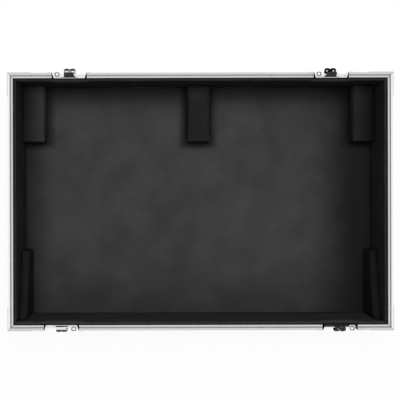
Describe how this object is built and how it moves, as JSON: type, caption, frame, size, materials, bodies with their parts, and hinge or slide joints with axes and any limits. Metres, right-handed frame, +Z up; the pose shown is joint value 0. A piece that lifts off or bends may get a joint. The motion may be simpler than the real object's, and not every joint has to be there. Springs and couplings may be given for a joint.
{
  "type": "flight case half",
  "caption": "Open lower half of a mixer flight case: grooved aluminium rim, felt-lined foam tray, support blocks, recessed butterfly latches.",
  "frame": {"origin": "centre of the footprint, on the plane the ball corners stand on", "axes": "+X along the long sides to the right, +Y to the back, where the three support blocks are, +Z up out of the tray"},
  "size_m": [0.9878, 0.6714, 0.1982],
  "materials": {
    "panel_laminate": "matte",
    "profile_aluminium": "satin",
    "lining_felt": "matte",
    "grip_rubber": "matte",
    "latch_chrome": "gloss",
    "zinc_steel": "satin",
    "rivet_steel": "satin"
  },
  "bodies": {
    "case": {"back_foot_profile": "profile_aluminium", "back_lining": "lining_felt", "back_panel": "panel_laminate", "back_rim_profile": "profile_aluminium", "bottom_panel": "panel_laminate", "corner_caps": "zinc_steel", "corner_profiles": "profile_aluminium", "corner_rivets": "rivet_steel", "edge_rivets": "rivet_steel", "floor_lining": "lining_felt", "front_foot_profile": "profile_aluminium", "front_lining": "lining_felt", "front_panel": "panel_laminate", "front_rim_profile": "profile_aluminium", "handle_dish_left": "zinc_steel", "handle_dish_right": "zinc_steel", "handle_rivets": "zinc_steel", "handle_springs": "zinc_steel", "latch_base_plates": "zinc_steel", "latch_dish_back_left": "latch_chrome", "latch_dish_back_right": "latch_chrome", "latch_dish_front_left": "latch_chrome", "latch_dish_front_right": "latch_chrome", "latch_rivets": "rivet_steel", "left_foot_profile": "profile_aluminium", "left_lining": "lining_felt", "left_panel": "panel_laminate", "left_rim_profile": "profile_aluminium", "padlock_lugs": "zinc_steel", "rear_block_centre": "lining_felt", "rear_block_left": "lining_felt", "rear_block_right": "lining_felt", "right_foot_profile": "profile_aluminium", "right_lining": "lining_felt", "right_panel": "panel_laminate", "right_rim_profile": "profile_aluminium", "rim_corner_braces": "zinc_steel", "side_block_left": "lining_felt", "side_block_right": "lining_felt"},
    "cam_front_left": {"latch_cam_front_left": "latch_chrome"},
    "wing_front_left": {"latch_wing_front_left": "latch_chrome"},
    "hook_front_left": {"latch_hook_front_left": "latch_chrome"},
    "cam_front_right": {"latch_cam_front_right": "latch_chrome"},
    "wing_front_right": {"latch_wing_front_right": "latch_chrome"},
    "hook_front_right": {"latch_hook_front_right": "latch_chrome"},
    "cam_back_left": {"latch_cam_back_left": "latch_chrome"},
    "wing_back_left": {"latch_wing_back_left": "latch_chrome"},
    "hook_back_left": {"latch_hook_back_left": "latch_chrome"},
    "cam_back_right": {"latch_cam_back_right": "latch_chrome"},
    "wing_back_right": {"latch_wing_back_right": "latch_chrome"},
    "hook_back_right": {"latch_hook_back_right": "latch_chrome"},
    "handle_left": {"handle_bail_left": "zinc_steel", "handle_grip_left": "grip_rubber"},
    "handle_right": {"handle_bail_right": "zinc_steel", "handle_grip_right": "grip_rubber"}
  },
  "joints": [
    {"name": "cam_turn_front_left", "type": "hinge", "parent": "case", "child": "cam_front_left", "pos_m": [-0.354, -0.3205, 0.1662], "axis": [0, -1, 0], "range_deg": [0, 180]},
    {"name": "hook_slide_front_left", "type": "slide", "parent": "case", "child": "hook_front_left", "axis": [0, 0, 1], "range_m": [-0.006, 0]},
    {"name": "wing_fold_front_left", "type": "hinge", "parent": "cam_front_left", "child": "wing_front_left", "pos_m": [-0.354, -0.3242, 0.1662], "axis": [1, 0, 0], "range_deg": [-22, 68]},
    {"name": "cam_turn_front_right", "type": "hinge", "parent": "case", "child": "cam_front_right", "pos_m": [0.354, -0.3205, 0.1662], "axis": [0, -1, 0], "range_deg": [0, 180]},
    {"name": "hook_slide_front_right", "type": "slide", "parent": "case", "child": "hook_front_right", "axis": [0, 0, 1], "range_m": [-0.006, 0]},
    {"name": "wing_fold_front_right", "type": "hinge", "parent": "cam_front_right", "child": "wing_front_right", "pos_m": [0.354, -0.3242, 0.1662], "axis": [1, 0, 0], "range_deg": [-22, 68]},
    {"name": "cam_turn_back_left", "type": "hinge", "parent": "case", "child": "cam_back_left", "pos_m": [-0.333, 0.3205, 0.1662], "axis": [0, 1, 0], "range_deg": [0, 180]},
    {"name": "hook_slide_back_left", "type": "slide", "parent": "case", "child": "hook_back_left", "axis": [0, 0, 1], "range_m": [-0.006, 0]},
    {"name": "wing_fold_back_left", "type": "hinge", "parent": "cam_back_left", "child": "wing_back_left", "pos_m": [-0.333, 0.3242, 0.1662], "axis": [-1, 0, 0], "range_deg": [-55, 35]},
    {"name": "cam_turn_back_right", "type": "hinge", "parent": "case", "child": "cam_back_right", "pos_m": [0.333, 0.3205, 0.1662], "axis": [0, 1, 0], "range_deg": [0, 180]},
    {"name": "hook_slide_back_right", "type": "slide", "parent": "case", "child": "hook_back_right", "axis": [0, 0, 1], "range_m": [-0.006, 0]},
    {"name": "wing_fold_back_right", "type": "hinge", "parent": "cam_back_right", "child": "wing_back_right", "pos_m": [0.333, 0.3242, 0.1662], "axis": [-1, 0, 0], "range_deg": [-55, 35]},
    {"name": "handle_swing_left", "type": "hinge", "parent": "case", "child": "handle_left", "pos_m": [-0.4803, 0, 0.1217], "axis": [0, 1, 0], "range_deg": [0, 90], "stiffness_Nm_per_rad": 0.15, "springref_deg": -68.75},
    {"name": "handle_swing_right", "type": "hinge", "parent": "case", "child": "handle_right", "pos_m": [0.4803, 0, 0.1217], "axis": [0, -1, 0], "range_deg": [0, 90], "stiffness_Nm_per_rad": 0.15, "springref_deg": -68.75}
  ],
  "couplings": [
    {"joint": "cam_turn_front_left", "follows": "hook_slide_front_left", "rad_per_m": -523.6},
    {"joint": "cam_turn_front_right", "follows": "hook_slide_front_right", "rad_per_m": -523.6},
    {"joint": "cam_turn_back_left", "follows": "hook_slide_back_left", "rad_per_m": -523.6},
    {"joint": "cam_turn_back_right", "follows": "hook_slide_back_right", "rad_per_m": -523.6}
  ]
}
